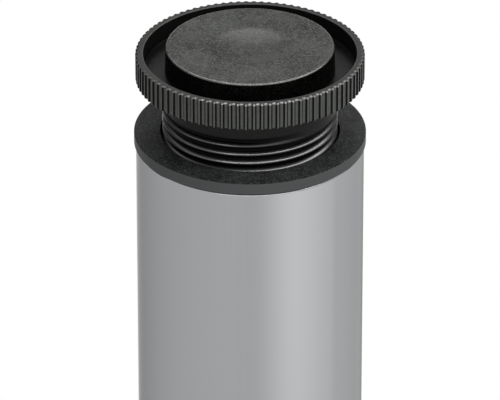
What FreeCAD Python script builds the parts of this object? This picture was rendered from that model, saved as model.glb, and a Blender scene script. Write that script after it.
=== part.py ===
import FreeCAD, Part
import os
import Sketcher

# A round table leg, standing foot up on the plate that is screwed under the table top.
# The origin is the centre of the plate's mounting face, and +Z runs along the leg to the foot.

SIZES = {
    # Tube
    "tube_diameter": 60.0,
    "tube_wall": 1.5,
    "tube_length": 692.6,
    "tube_edge": 0.65,
    # Plate and spigot
    "plate_margin": 20.0,
    "plate_thickness": 5.0,
    "plate_edge": 1.2,
    "spigot_height": 30.0,
    "spigot_wall": 4.0,
    "spigot_gap": 0.15,
    "spigot_lead": 1.0,
    "screw_count": 4,
    "screw_hole": 5.5,
    "screw_head": 10.5,
    "countersink_angle": 90.0,
    # Clamp screw and its boss
    "clamp_height": 15.0,
    "clamp_diameter": 8.0,
    "clamp_length": 9.0,
    "clamp_edge": 0.8,
    "clamp_gap": 0.05,
    "clamp_socket": 4.0,
    "socket_depth": 4.0,
    "boss_wall": 3.5,
    "boss_depth": 5.0,
    "key_hole": 5.0,
    # Insert in the tube's foot end
    "flange_overhang": 0.5,
    "flange_thickness": 3.2,
    "flange_edge": 0.35,
    "insert_length": 36.0,
    "insert_wall": 2.2,
    "insert_fit": 0.05,
    "rib_count": 12,
    "rib_width": 1.8,
    "rib_depth": 2.65,
    # Thread between insert and foot
    "thread_pitch": 2.5,
    "thread_depth": 1.1,
    "thread_crest": 0.6,
    "thread_root": 0.8,
    "thread_flank_gap": 0.25,
    "thread_root_gap": 0.3,
    "thread_crest_gap": 0.5,
    "thread_drop": 7.0,
    "thread_lead": 1.85,
    "thread_start": 1.2,
    # Adjusting foot
    "foot_out": 15.3,
    "shank_length": 42.0,
    "shank_wall": 3.0,
    "shank_lead": 1.0,
    "wheel_height": 7.4,
    "wheel_edge": 0.5,
    "rim_wall": 2.1,
    "rim_edge": 0.35,
    "web_thickness": 2.4,
    "flute_count": 90,
    "flute_depth": 0.5,
    "ridge_width": 0.55,
    # Floor glide and its clip
    "moat_width": 5.9,
    "glide_stand": 1.8,
    "glide_draft": 0.3,
    "glide_edge": 0.4,
    "glide_wall": 2.0,
    "glide_gap": 0.3,
    "dish_diameter": 20.0,
    "dish_depth": 0.7,
    "clip_hole": 14.0,
    "clip_wall": 2.0,
    "clip_catch": 0.8,
    "clip_lip": 2.0,
    "clip_slot": 1.8,
}

# Sizes that follow from the driving ones, as expressions on the sheet
TUBE_R = "size.tube_diameter / 2"
TUBE_INNER_R = f"({TUBE_R} - size.tube_wall)"
PLATE_R = f"({TUBE_R} + size.plate_margin)"
SPIGOT_R = f"({TUBE_INNER_R} - size.spigot_gap)"
SPIGOT_INNER_R = f"({SPIGOT_R} - size.spigot_wall)"
SPIGOT_TOP = "(size.plate_thickness + size.spigot_height)"
CLAMP_Z = "(size.plate_thickness + size.clamp_height)"
TUBE_TOP = "(size.plate_thickness + size.tube_length)"

RIB_R = f"({TUBE_INNER_R} - size.insert_fit)"
SLEEVE_R = f"({RIB_R} - size.rib_depth)"
BORE_R = f"({SLEEVE_R} - size.insert_wall)"
INSERT_DEPTH = "(size.insert_length + size.flange_thickness)"

CREST_R = f"({BORE_R} - size.thread_crest_gap)"
ROOT_R = f"({CREST_R} - size.thread_depth)"
RIDGE_R = f"({ROOT_R} + size.thread_root_gap)"
GROOVE_HALF = "((size.thread_pitch - size.thread_crest) / 2)"
ROOT_HALF = "(size.thread_root / 2)"
FLANK_SLOPE = f"(({GROOVE_HALF} - {ROOT_HALF}) / size.thread_depth)"
RIDGE_HALF = f"({ROOT_HALF} + size.thread_root_gap * {FLANK_SLOPE} - size.thread_flank_gap)"

# The wheel is as wide as the tube
WHEEL_R = f"({TUBE_R})"
RIM_INNER_R = f"({WHEEL_R} - size.rim_wall)"
WHEEL_TOP = "(size.shank_length + size.wheel_height)"
WEB_TOP = "(size.shank_length + size.web_thickness)"
CLIP_R = "(size.clip_hole / 2)"
RING_TOP = f"({TUBE_TOP} + size.flange_thickness)"
FOOT_Z = f"({RING_TOP} + size.foot_out - size.shank_length)"

GLIDE_BASE_R = f"({RIM_INNER_R} - size.moat_width + size.glide_draft)"
GLIDE_R = f"({RIM_INNER_R} - size.moat_width)"
GLIDE_BASE = "(size.clip_lip + 2 * size.glide_gap + size.web_thickness)"
GLIDE_TOP = (f"({GLIDE_BASE} + size.wheel_height - size.web_thickness - size.glide_gap"
             " + size.glide_stand)")
STEM_R = f"({CLIP_R} - size.glide_gap)"
LIP_R = f"({CLIP_R} + size.clip_catch)"


document = FreeCAD.newDocument("table_leg")
sheet = document.addObject("Spreadsheet::Sheet", "size")
for row, (alias, number) in enumerate(SIZES.items(), start=1):
    sheet.set(f"A{row}", alias)
    sheet.set(f"B{row}", str(number))
    sheet.setAlias(f"B{row}", alias)
document.recompute()


def value(expression):
    """Number that an expression on the sheet has now."""
    return float(sheet.evalExpression(expression))


def origin_feature(body, role):
    """Plane or axis of a body's own origin."""
    return next(part for part in body.Origin.OriginFeatures if part.Role == role)


def new_body(label):
    """Empty body with a label of its own."""
    body = document.addObject("PartDesign::Body", label)
    body.Label = label
    return body


def new_sketch(body, name, plane, offset=None):
    """Sketch on one of the body's origin planes, raised by an expression if one is given."""
    sketch = body.newObject("Sketcher::SketchObject", name)
    sketch.AttachmentSupport = (origin_feature(body, plane), [""])
    sketch.MapMode = "FlatFace"
    if offset:
        sketch.setExpression("AttachmentOffset.Base.z", offset)
    return sketch


def tie(sketch, kind, geometry, point, expression):
    """Size in a sketch that follows an expression."""
    index = sketch.addConstraint(Sketcher.Constraint(kind, geometry, point, value(expression)))
    sketch.setExpression(f"Constraints[{index}]", expression)


def outline(body, name, plane, points, offset=None):
    """Closed outline of straight lines through points given as pairs of expressions."""
    sketch = new_sketch(body, name, plane, offset)
    corners = [FreeCAD.Vector(value(x), value(y), 0) for x, y in points]
    for index, corner in enumerate(corners):
        sketch.addGeometry(Part.LineSegment(corner, corners[(index + 1) % len(corners)]))
    for index in range(len(corners)):
        sketch.addConstraint(Sketcher.Constraint("Coincident", index, 2, (index + 1) % len(corners), 1))
    for index, (x, y) in enumerate(points):
        tie(sketch, "DistanceX", index, 1, x)
        tie(sketch, "DistanceY", index, 1, y)
    return sketch


def circle(body, name, plane, x, y, radius, offset=None):
    """Circle about a point, with its place and radius given as expressions."""
    sketch = new_sketch(body, name, plane, offset)
    centre = FreeCAD.Vector(value(x), value(y), 0)
    sketch.addGeometry(Part.Circle(centre, FreeCAD.Vector(0, 0, 1), value(radius)))
    tie(sketch, "DistanceX", 0, 3, x)
    tie(sketch, "DistanceY", 0, 3, y)
    index = sketch.addConstraint(Sketcher.Constraint("Radius", 0, value(radius)))
    sketch.setExpression(f"Constraints[{index}]", radius)
    return sketch


def turned(body, name, points):
    """Solid turned about the body's Z axis from pairs of radius and height."""
    profile = outline(body, f"{name}_profile", "XZ_Plane", points)
    feature = body.newObject("PartDesign::Revolution", name)
    feature.Profile = profile
    feature.ReferenceAxis = (origin_feature(body, "Z_Axis"), [""])
    feature.Angle = 360
    document.recompute()
    return feature


def straight(body, kind, name, profile, length, reverse=False):
    """Pad or Pocket of a sketch over a length given as an expression."""
    feature = body.newObject(f"PartDesign::{kind}", name)
    feature.Profile = profile
    feature.Reversed = reverse
    feature.setExpression("Length", length)
    document.recompute()
    return feature


def around(body, name, feature, count):
    """Copies of a feature spaced evenly about the body's Z axis."""
    pattern = body.newObject("PartDesign::PolarPattern", name)
    pattern.Originals = [feature]
    pattern.Axis = (origin_feature(body, "Z_Axis"), [""])
    pattern.Angle = 360
    pattern.setExpression("Occurrences", count)
    body.Tip = pattern
    document.recompute()
    return pattern


def helix(body, kind, name, profile, height):
    """Right-hand thread of a profile about the body's Z axis."""
    feature = body.newObject(f"PartDesign::{kind}Helix", name)
    feature.Profile = profile
    feature.ReferenceAxis = (origin_feature(body, "Z_Axis"), [""])
    feature.Mode = "pitch-height-angle"
    feature.setExpression("Pitch", "size.thread_pitch")
    feature.setExpression("Height", height)
    feature.Angle = 0
    feature.LeftHanded = False
    document.recompute()
    return feature


def leg_tube():
    """Round tube with broken edges and a hole for the clamp screw's key."""
    body = new_body("leg_tube")
    inner_edge = f"({TUBE_R} - size.tube_edge)"
    turned(body, "wall", [
        (TUBE_INNER_R, "0"),
        (inner_edge, "0"),
        (TUBE_R, "size.tube_edge"),
        (TUBE_R, "size.tube_length - size.tube_edge"),
        (inner_edge, "size.tube_length"),
        (TUBE_INNER_R, "size.tube_length"),
    ])
    hole = circle(body, "key_hole_outline", "XZ_Plane", "0", "size.clamp_height", "size.key_hole / 2")
    straight(body, "Pocket", "key_hole", hole, "size.tube_diameter")
    body.setExpression("Placement.Base.z", "size.plate_thickness")
    return body


def fixing_plate():
    """Cast plate with a hollow spigot, a boss for the clamp screw and countersunk screw holes."""
    body = new_body("fixing_plate")
    turned(body, "plate", [
        (SPIGOT_INNER_R, "0"),
        (PLATE_R, "0"),
        (PLATE_R, "size.plate_thickness - size.plate_edge"),
        (f"{PLATE_R} - size.plate_edge", "size.plate_thickness"),
        (SPIGOT_R, "size.plate_thickness"),
        (SPIGOT_R, f"{SPIGOT_TOP} - size.spigot_lead"),
        (f"{SPIGOT_R} - size.spigot_lead", SPIGOT_TOP),
        (SPIGOT_INNER_R, SPIGOT_TOP),
    ])
    boss_start = f"-({SPIGOT_INNER_R} - size.boss_depth)"
    boss_r = "size.clamp_diameter / 2 + size.boss_wall"
    boss = circle(body, "boss_outline", "XZ_Plane", "0", CLAMP_Z, boss_r, boss_start)
    straight(body, "Pad", "boss", boss, "size.boss_depth + size.spigot_wall / 2", reverse=True)
    tapped = circle(body, "clamp_hole_outline", "XZ_Plane", "0", CLAMP_Z, "size.clamp_diameter / 2")
    straight(body, "Pocket", "clamp_hole", tapped, SPIGOT_R)

    seat = circle(body, "screw_hole_place", "XY_Plane", f"{TUBE_R} + size.plate_margin / 2", "0",
                  "size.screw_hole / 2", "size.plate_thickness")
    document.recompute()
    hole = body.newObject("PartDesign::Hole", "screw_hole")
    hole.Profile = seat
    document.recompute()
    hole.ThreadType = "None"
    hole.DepthType = "ThroughAll"
    hole.HoleCutType = "Countersink"
    hole.setExpression("Diameter", "size.screw_hole")
    hole.setExpression("HoleCutDiameter", "size.screw_head")
    hole.setExpression("HoleCutCountersinkAngle", "size.countersink_angle")
    document.recompute()
    around(body, "screw_holes", hole, "size.screw_count")
    return body


def clamp_screw():
    """Grub screw in the spigot, with its hexagon socket facing the tube's key hole."""
    body = new_body("clamp_screw")
    radius = "(size.clamp_diameter / 2 - size.clamp_gap)"
    tip_r = f"({radius} - size.clamp_edge)"
    turned(body, "shank", [
        ("0", "0"),
        (tip_r, "0"),
        (radius, "size.clamp_edge"),
        (radius, "size.clamp_length - size.clamp_edge"),
        (tip_r, "size.clamp_length"),
        ("0", "size.clamp_length"),
    ])
    corner_r = "size.clamp_socket / 2 / cos(30)"
    corners = [(f"{corner_r} * cos({angle})", f"{corner_r} * sin({angle})") for angle in range(0, 360, 60)]
    socket = outline(body, "socket_outline", "XY_Plane", corners, "size.clamp_length")
    straight(body, "Pocket", "socket", socket, "size.socket_depth")
    body.Placement = FreeCAD.Placement(FreeCAD.Vector(), FreeCAD.Rotation(FreeCAD.Vector(1, 0, 0), -90))
    tip_y = f"(sqrt(pow({TUBE_INNER_R}; 2) - pow({tip_r}; 2)) - size.clamp_gap)"
    body.setExpression("Placement.Base.y", f"{tip_y} - size.clamp_length")
    body.setExpression("Placement.Base.z", CLAMP_Z)
    return body


def tube_insert():
    """Flanged bush in the tube, with ribs on its sleeve and a thread ridge in its bore."""
    body = new_body("tube_insert")
    flange_r = f"({TUBE_R} + size.flange_overhang)"
    turned(body, "sleeve", [
        (BORE_R, "0"),
        (SLEEVE_R, "0"),
        (SLEEVE_R, "size.insert_length"),
        (flange_r, "size.insert_length"),
        (flange_r, f"{INSERT_DEPTH} - size.flange_edge"),
        (f"{flange_r} - size.flange_edge", INSERT_DEPTH),
        (f"{BORE_R} + size.flange_edge", INSERT_DEPTH),
        (BORE_R, f"{INSERT_DEPTH} - size.flange_edge"),
    ])
    rib_inside = f"({BORE_R} + size.insert_wall / 2)"
    rib_outside = f"sqrt(pow({RIB_R}; 2) - pow(size.rib_width / 2; 2))"
    rib_outline = outline(body, "rib_outline", "XY_Plane", [
        (rib_inside, "-size.rib_width / 2"),
        (rib_outside, "-size.rib_width / 2"),
        (rib_outside, "size.rib_width / 2"),
        (rib_inside, "size.rib_width / 2"),
    ])
    rib = straight(body, "Pad", "rib", rib_outline, "size.insert_length")
    around(body, "ribs", rib, "size.rib_count")

    # The ridge lies in the foot's thread groove, whole turns along the same helix
    whole_turns = "1000 * size.thread_pitch"
    groove_start = f"({INSERT_DEPTH} - size.shank_length - size.thread_lead)"
    ridge_start = (f"(size.thread_start + mod({groove_start} - size.thread_start + {whole_turns};"
                   " size.thread_pitch))")
    base_r = f"({BORE_R} + size.insert_wall / 2)"
    base_half = f"({RIDGE_HALF} + ({base_r} - {RIDGE_R}) * {FLANK_SLOPE})"
    profile = outline(body, "ridge_profile", "XZ_Plane", [
        (base_r, f"{ridge_start} - {base_half}"),
        (base_r, f"{ridge_start} + {base_half}"),
        (RIDGE_R, f"{ridge_start} + {RIDGE_HALF}"),
        (RIDGE_R, f"{ridge_start} - {RIDGE_HALF}"),
    ])
    helix(body, "Additive", "thread_ridge", profile,
          f"{INSERT_DEPTH} - size.thread_drop - size.thread_pitch - {ridge_start}")
    body.setExpression("Placement.Base.z", f"{TUBE_TOP} - size.insert_length")
    return body


def adjusting_foot():
    """Knurled wheel on a hollow shank, with a thread groove that runs out below a plain neck."""
    body = new_body("adjusting_foot")
    shank_bore = f"({ROOT_R} - size.shank_wall)"
    turned(body, "blank", [
        (shank_bore, "0"),
        (f"{CREST_R} - size.shank_lead", "0"),
        (CREST_R, "size.shank_lead"),
        (CREST_R, "size.shank_length"),
        (f"{WHEEL_R} - size.wheel_edge", "size.shank_length"),
        (WHEEL_R, "size.shank_length + size.wheel_edge"),
        (WHEEL_R, f"{WHEEL_TOP} - size.wheel_edge"),
        (f"{WHEEL_R} - size.wheel_edge", WHEEL_TOP),
        (f"{RIM_INNER_R} + size.rim_edge", WHEEL_TOP),
        (RIM_INNER_R, f"{WHEEL_TOP} - size.rim_edge"),
        (RIM_INNER_R, WEB_TOP),
        (CLIP_R, WEB_TOP),
        (CLIP_R, "size.shank_length"),
        (shank_bore, "size.shank_length"),
    ])
    chord = f"(2 * pi * {WHEEL_R} / size.flute_count - size.ridge_width)"
    flute_r = f"((pow({chord} / 2; 2) + pow(size.flute_depth; 2)) / (2 * size.flute_depth))"
    flute_outline = circle(body, "flute_outline", "XY_Plane", f"{WHEEL_R} - size.flute_depth + {flute_r}",
                           "0", flute_r, "size.shank_length")
    flute = straight(body, "Pocket", "flute", flute_outline, "size.wheel_height", reverse=True)
    around(body, "flutes", flute, "size.flute_count")

    groove_start = "(-size.thread_lead)"
    mouth_r = f"({CREST_R} + size.thread_crest_gap)"
    mouth_half = f"({GROOVE_HALF} + size.thread_crest_gap * {FLANK_SLOPE})"
    profile = outline(body, "groove_profile", "XZ_Plane", [
        (ROOT_R, f"{groove_start} - {ROOT_HALF}"),
        (mouth_r, f"{groove_start} - {mouth_half}"),
        (mouth_r, f"{groove_start} + {mouth_half}"),
        (ROOT_R, f"{groove_start} + {ROOT_HALF}"),
    ])
    helix(body, "Subtractive", "thread_groove", profile,
          f"size.shank_length - size.thread_drop - {groove_start}")
    body.Placement = FreeCAD.Placement(FreeCAD.Vector(), FreeCAD.Rotation(FreeCAD.Vector(0, 0, 1), 1))
    body.setExpression("Placement.Base.z", FOOT_Z)
    body.setExpression("Placement.Rotation.Angle", "360 * size.foot_out / size.thread_pitch")
    return body


def floor_glide():
    """Round pad with a shallow dish, hollow below, held in the wheel's web by a split stem."""
    body = new_body("floor_glide")
    roof = f"({GLIDE_TOP} - size.glide_wall)"
    stem_bore = f"({STEM_R} - size.clip_wall)"
    turned(body, "pad", [
        (stem_bore, "0"),
        (STEM_R, "0"),
        (LIP_R, "size.clip_lip / 2"),
        (LIP_R, "size.clip_lip"),
        (STEM_R, "size.clip_lip"),
        (STEM_R, roof),
        (f"{GLIDE_R} - size.glide_wall", roof),
        (f"{GLIDE_R} - size.glide_wall", GLIDE_BASE),
        (GLIDE_BASE_R, GLIDE_BASE),
        (GLIDE_R, f"{GLIDE_TOP} - size.glide_edge"),
        (f"{GLIDE_R} - size.glide_edge", GLIDE_TOP),
        ("0", GLIDE_TOP),
        ("0", roof),
        (stem_bore, roof),
    ])
    reach = f"({LIP_R} + size.glide_gap)"
    half = "(size.clip_slot / 2)"
    for name, long_way, short_way in (("slot_x", reach, half), ("slot_y", half, reach)):
        slot = outline(body, f"{name}_outline", "XY_Plane", [
            (f"-{long_way}", f"-{short_way}"),
            (long_way, f"-{short_way}"),
            (long_way, short_way),
            (f"-{long_way}", short_way),
        ])
        straight(body, "Pocket", name, slot, GLIDE_BASE, reverse=True)

    ball_r = "((pow(size.dish_diameter / 2; 2) + pow(size.dish_depth; 2)) / (2 * size.dish_depth))"
    dish = body.newObject("PartDesign::SubtractiveSphere", "dish")
    dish.AttachmentSupport = (origin_feature(body, "XY_Plane"), [""])
    dish.MapMode = "FlatFace"
    dish.setExpression("Radius", ball_r)
    dish.setExpression("AttachmentOffset.Base.z", f"{GLIDE_TOP} - size.dish_depth + {ball_r}")
    document.recompute()
    body.setExpression("Placement.Base.z",
                       f"{RING_TOP} + size.foot_out - size.glide_gap - size.clip_lip")
    return body


PIECES = [
    fixing_plate(),
    clamp_screw(),
    leg_tube(),
    tube_insert(),
    adjusting_foot(),
    floor_glide(),
]
document.recompute()

for item in document.Objects:
    if "Invalid" in item.State or "Error" in item.State:
        raise RuntimeError(f"{item.Name} failed: {item.State}")
for piece in PIECES:
    if piece.Shape.isNull() or not piece.Shape.isValid() or len(piece.Shape.Solids) != 1:
        raise RuntimeError(f"{piece.Label} is not one valid solid")

os.makedirs("parts", exist_ok=True)
for piece in PIECES:
    piece.Shape.exportStep(f"parts/{piece.Label}.step")
    print(f"{piece.Label}: {piece.Shape.Volume / 1000:.2f} cm3")
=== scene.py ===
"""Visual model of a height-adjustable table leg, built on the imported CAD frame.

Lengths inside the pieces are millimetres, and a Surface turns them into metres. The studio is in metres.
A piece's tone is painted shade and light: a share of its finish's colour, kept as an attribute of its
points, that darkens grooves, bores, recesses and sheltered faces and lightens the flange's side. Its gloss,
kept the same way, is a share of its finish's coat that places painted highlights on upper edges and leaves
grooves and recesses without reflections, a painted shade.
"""

import logging
import math
from dataclasses import dataclass
from enum import Enum
from typing import Sequence

import bmesh
import bpy
import numpy as np
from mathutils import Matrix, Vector


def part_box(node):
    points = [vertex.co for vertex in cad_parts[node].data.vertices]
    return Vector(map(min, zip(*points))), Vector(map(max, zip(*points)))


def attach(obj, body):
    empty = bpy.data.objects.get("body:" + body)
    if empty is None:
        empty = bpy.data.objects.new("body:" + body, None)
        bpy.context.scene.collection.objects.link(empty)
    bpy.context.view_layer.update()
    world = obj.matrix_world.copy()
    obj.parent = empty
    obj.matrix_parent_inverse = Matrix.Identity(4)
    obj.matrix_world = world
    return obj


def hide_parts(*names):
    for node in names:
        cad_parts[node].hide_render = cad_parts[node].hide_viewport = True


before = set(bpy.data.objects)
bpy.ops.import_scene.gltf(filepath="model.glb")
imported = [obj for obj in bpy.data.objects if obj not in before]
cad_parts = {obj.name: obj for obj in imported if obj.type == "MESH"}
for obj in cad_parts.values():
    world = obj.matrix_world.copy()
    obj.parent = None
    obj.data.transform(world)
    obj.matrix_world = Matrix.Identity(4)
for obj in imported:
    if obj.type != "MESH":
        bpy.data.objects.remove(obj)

MM = 0.001
TURN = 2.0 * math.pi
QUARTER = 0.5 * math.pi
# Millimetres: a point within FLAT of a flat top lies on it, and NEAR and TINY tell a corner from its sides.
FLAT = 0.004
NEAR = 0.01
TINY = 1e-6
# Metres: points closer than WELD are merged, and edges shorter than SLIVER are dissolved.
WELD = 2e-7
SLIVER = 1e-8
PLAIN_GLOSS = 0.02
WHITE = (1.0, 1.0, 1.0, 1.0)
LOG = logging.getLogger("table_leg")

Span = tuple[float, float]
Triple = tuple[float, float, float]
Four = tuple[float, float, float, float]


class Body(Enum):
    """The CAD bodies that pieces ride on."""

    LEG = "leg"
    GLIDE = "glide"
    FOOT = "foot"


class Node(Enum):
    """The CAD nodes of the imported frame."""

    PLATE = "fixing_plate"
    SCREW = "clamp_screw"
    TUBE = "leg_tube"
    INSERT = "tube_insert"
    FOOT = "adjusting_foot"
    GLIDE = "floor_glide"


class Slot(Enum):
    """The record's material slots."""

    TUBE = "tube_metal"
    CAST = "cast_metal"
    SCREW = "screw_steel"
    INSERT = "insert_plastic"
    FOOT = "foot_plastic"
    GLIDE = "glide_plastic"


def soft_ramp(x: np.ndarray, blend: float) -> np.ndarray:
    """Zero below zero and x above it, joined by a parabola that reaches blend to each side."""
    bend = (x + blend) ** 2 / (4.0 * blend)
    return np.where(x <= -blend, 0.0, np.where(x >= blend, x, bend))


def full_turn(count: int) -> np.ndarray:
    """Evenly spaced angles of one turn without its end, in radians."""
    return np.linspace(0.0, TURN, count, endpoint=False)


def polar(radius: np.ndarray, angle: np.ndarray, height: np.ndarray) -> np.ndarray:
    """Grid of points about Z: x = r cos a, y = r sin a, z = height."""
    spread = np.broadcast_arrays(radius * np.cos(angle), radius * np.sin(angle), height)
    return np.stack(spread, axis=-1)


def turned(profile: np.ndarray, angles: np.ndarray) -> np.ndarray:
    """Grid of an outline, whose rows are radius and height, turned about Z through the angles."""
    return polar(profile[:, :1], angles, profile[:, 1:])


def rounded(corners: Sequence[Triple], steps: int = 6, support: float = 0.05) -> np.ndarray:
    """Outline in the (radius, height) plane with rounded corners.

    Each rounding is an arc that touches both of its sides: it starts and ends at rounding / tan(half the
    corner's angle) from the corner.

    Args:
        corners: (radius, height, rounding) in order, the outer wall upwards.
        steps: Spans in each rounding.
        support: Distance of the extra point beside each rounding, which keeps flat faces flat.

    Returns:
        Points as an (n, 2) array.
    """
    places = np.array([corner[:2] for corner in corners], float)
    runs = []
    along = np.linspace(0.0, 1.0, steps + 1)[:, None]
    neighbours = zip(places, np.roll(places, 1, axis=0), np.roll(places, -1, axis=0))
    for corner, (here, before, after) in zip(corners, neighbours):
        rounding = corner[2]
        if rounding <= 0.0:
            runs.append(here[None])
            continue
        back = (before - here) / np.linalg.norm(before - here)
        ahead = (after - here) / np.linalg.norm(after - here)
        half = 0.5 * math.acos(float(np.clip(back @ ahead, -1.0, 1.0)))
        reach = rounding / math.tan(half)
        middle = (back + ahead) / np.linalg.norm(back + ahead)
        centre = here + middle * rounding / math.sin(half)
        first = here + back * reach - centre
        last = here + ahead * reach - centre
        sweep = math.pi - 2.0 * half
        arc = np.sin((1.0 - along) * sweep) * first + np.sin(along * sweep) * last
        arc = centre + arc / math.sin(sweep)
        runs.append(np.vstack([arc[:1] + back * support, arc, arc[-1:] + ahead * support]))
    return np.vstack(runs)


class Surface:
    """Gathers grids of points and welds them into one closed mesh."""

    def __init__(self, name: str) -> None:
        """Starts an empty surface.

        Args:
            name: Name of the mesh and of its object.
        """
        self.name = name
        self.points: list[np.ndarray] = []
        self.quads: list[np.ndarray] = []
        self.shares: dict[str, list[np.ndarray]] = {"painted_shading": [], "gloss": []}
        self.count = 0

    def grid(
        self,
        points: np.ndarray,
        loop_rows: bool = False,
        loop_columns: bool = False,
        flip: bool = False,
        keep: np.ndarray | None = None,
        painted_shading: np.ndarray | float = 1.0,
        gloss: np.ndarray | float = PLAIN_GLOSS,
    ) -> "Surface":
        """Adds the quads between the rows and columns of a grid.

        Args:
            points: (rows, columns, 3) places in millimetres.
            loop_rows: Joins the last row to the first.
            loop_columns: Joins the last column to the first.
            flip: Turns the faces over.
            keep: True for each quad that is wanted.
            painted_shading: Painted shade and light, as a share of the finish's full colour, for each point
                or for all.
            gloss: Share of the finish's coat, for each point or for all, which places painted highlights
                and painted shade in the reflections.

        Returns:
            This surface, for another call.
        """
        rows, columns = points.shape[:2]
        index = np.arange(rows * columns).reshape(rows, columns) + self.count
        if loop_rows:
            index = np.vstack([index, index[:1]])
        if loop_columns:
            index = np.hstack([index, index[:, :1]])
        quads = np.stack([index[:-1, :-1], index[:-1, 1:], index[1:, 1:], index[1:, :-1]], axis=-1)
        quads = quads[keep] if keep is not None else quads.reshape(-1, 4)
        self.points.append(points.reshape(-1, 3))
        self.shares["painted_shading"].append(np.broadcast_to(painted_shading, (rows, columns)).ravel())
        self.shares["gloss"].append(np.broadcast_to(gloss, (rows, columns)).ravel())
        self.quads.append(quads[:, ::-1] if flip else quads)
        self.count += rows * columns
        return self

    def fan(self, ring: np.ndarray, flip: bool) -> "Surface":
        """Closes a ring of points with a fan from their middle."""
        middle = np.broadcast_to(ring.mean(axis=0), ring.shape)
        return self.grid(np.stack([middle, ring]), loop_columns=True, flip=flip)

    def to_object(self, sharp_deg: float) -> bpy.types.Object:
        """Makes the welded object in the row frame.

        Args:
            sharp_deg: Edges bent by more than this stay sharp.

        Returns:
            The linked object.
        """
        places = np.vstack(self.points) * MM
        quads = np.vstack(self.quads)
        mesh = bpy.data.meshes.new(self.name)
        mesh.vertices.add(len(places))
        mesh.vertices.foreach_set("co", places.astype(np.float32).ravel())
        mesh.loops.add(quads.size)
        mesh.loops.foreach_set("vertex_index", quads.astype(np.int32).ravel())
        mesh.polygons.add(len(quads))
        mesh.polygons.foreach_set("loop_start", np.arange(0, quads.size, 4, dtype=np.int32))
        mesh.update(calc_edges=True)
        for name, parts in self.shares.items():
            share = mesh.attributes.new(name, "FLOAT", "POINT")
            share.data.foreach_set("value", np.concatenate(parts).astype(np.float32))
        welded = bmesh.new()
        welded.from_mesh(mesh)
        bmesh.ops.remove_doubles(welded, verts=welded.verts, dist=WELD)
        bmesh.ops.dissolve_degenerate(welded, edges=welded.edges, dist=SLIVER)
        welded.to_mesh(mesh)
        welded.free()
        mesh.polygons.foreach_set("use_smooth", np.ones(len(mesh.polygons), bool))
        mesh.set_sharp_from_angle(angle=math.radians(sharp_deg))
        made = bpy.data.objects.new(self.name, mesh)
        bpy.context.scene.collection.objects.link(made)
        return made


class Signal:
    """A shader value that takes part in arithmetic."""

    def __init__(self, graph: "Graph", socket: bpy.types.NodeSocket) -> None:
        """Wraps an output socket of a graph."""
        self.graph = graph
        self.socket = socket

    def _math(self, operation: str, *terms: "Signal | float") -> "Signal":
        """Adds a Math node with the terms as its inputs."""
        return self.graph.node("ShaderNodeMath", {"operation": operation}, dict(enumerate(terms)))

    def __add__(self, other: "Signal | float") -> "Signal":
        """Sum of two values."""
        return self._math("ADD", self, other)

    def __radd__(self, other: float) -> "Signal":
        """Sum of a number and this value."""
        return self._math("ADD", other, self)

    def __sub__(self, other: "Signal | float") -> "Signal":
        """Difference of two values."""
        return self._math("SUBTRACT", self, other)

    def __rsub__(self, other: float) -> "Signal":
        """A number less this value."""
        return self._math("SUBTRACT", other, self)

    def __mul__(self, other: "Signal | float") -> "Signal":
        """Product of two values."""
        return self._math("MULTIPLY", self, other)

    def __rmul__(self, other: float) -> "Signal":
        """Product of a number and this value."""
        return self._math("MULTIPLY", other, self)

    def at_most(self, other: "Signal | float") -> "Signal":
        """The smaller of two values."""
        return self._math("MINIMUM", self, other)

    def at_least(self, other: "Signal | float") -> "Signal":
        """The larger of two values."""
        return self._math("MAXIMUM", self, other)

    def between(self, low: float, high: float) -> "Signal":
        """Smooth step from 0 at low to 1 at high."""
        settings = {"interpolation_type": "SMOOTHSTEP", "clamp": True}
        return self.graph.node("ShaderNodeMapRange", settings, {0: self, 1: low, 2: high})


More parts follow.
